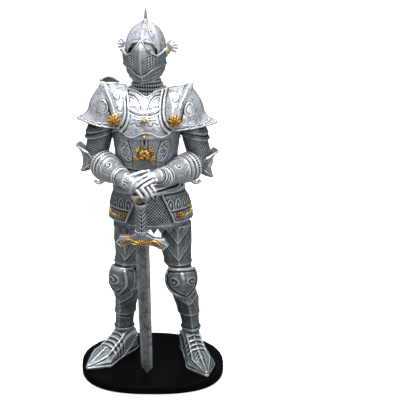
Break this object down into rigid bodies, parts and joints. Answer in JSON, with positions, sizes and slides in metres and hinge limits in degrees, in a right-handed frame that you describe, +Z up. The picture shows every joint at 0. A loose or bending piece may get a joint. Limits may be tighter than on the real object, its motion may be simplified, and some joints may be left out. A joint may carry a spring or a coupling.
{
  "type": "knight statuette",
  "caption": "Knight in full plate armour on a black plinth, hands folded over the pommel of a standing sword, with a helmet visor that lifts on a hinge.",
  "frame": {"origin": "centre of the plinth's underside, on the table", "axes": "+Z up, the figure faces -Y, +X is the figure's left"},
  "size_m": [0.119, 0.095, 0.3],
  "materials": {
    "silver": "silver-painted resin with a black wash in the recesses, rubbed bright on the edges",
    "dark_silver": "silver-painted resin under a heavier black wash: the mail, blade and limb cores",
    "gold": "gold-painted resin with an orange-brown wash",
    "plinth_black": "gloss black",
    "felt": "dark green felt",
    "screw_steel": "plain steel",
    "face": "silver-grey painted resin, plain"
  },
  "bodies": {
    "figure": {"right_base_screw": "screw_steel", "left_base_screw": "screw_steel", "plinth": "plinth_black", "felt_pad": "felt", "right_greave": "silver", "right_cuisse": "silver", "right_leg_core": "dark_silver", "right_poleyn": "silver", "right_sabaton": "silver", "left_greave": "silver", "left_cuisse": "silver", "left_leg_core": "dark_silver", "left_poleyn": "silver", "left_sabaton": "silver", "mail_skirt": "dark_silver", "left_tasset": "silver", "right_tasset": "silver", "culet": "silver", "fauld": "silver", "body_core": "dark_silver", "mail_collar": "dark_silver", "breastplate": "silver", "lower_chestplate": "silver", "backplate": "silver", "right_mail_sleeve": "dark_silver", "right_rerebrace": "silver", "right_vambrace": "silver", "right_pauldron": "silver", "right_couter": "silver", "left_mail_sleeve": "dark_silver", "left_rerebrace": "silver", "left_vambrace": "silver", "left_pauldron": "silver", "left_couter": "silver", "blade": "dark_silver", "crossguard": "silver", "grip": "silver", "pommel": "silver", "pommel_flower": "gold", "guard_scroll": "gold", "left_gauntlet": "silver", "right_gauntlet": "silver", "helmet_skull": "silver", "helmet_spike": "dark_silver", "bevor": "silver", "right_visor_pin": "gold", "left_visor_pin": "gold", "head_form": "face", "chest_flower": "gold", "chest_bead": "gold", "breast_bead": "gold", "right_shoulder_flower": "gold", "left_shoulder_flower": "gold", "right_hip_flower": "gold", "left_hip_flower": "gold"},
    "visor": {"visor": "silver"}
  },
  "joints": [
    {"name": "visor_hinge", "type": "hinge", "parent": "figure", "child": "visor", "pos_m": [-0.0054, 0.003, 0.268], "axis": [-0.9903, 0.1392, 0], "range_deg": [0, 45]}
  ]
}
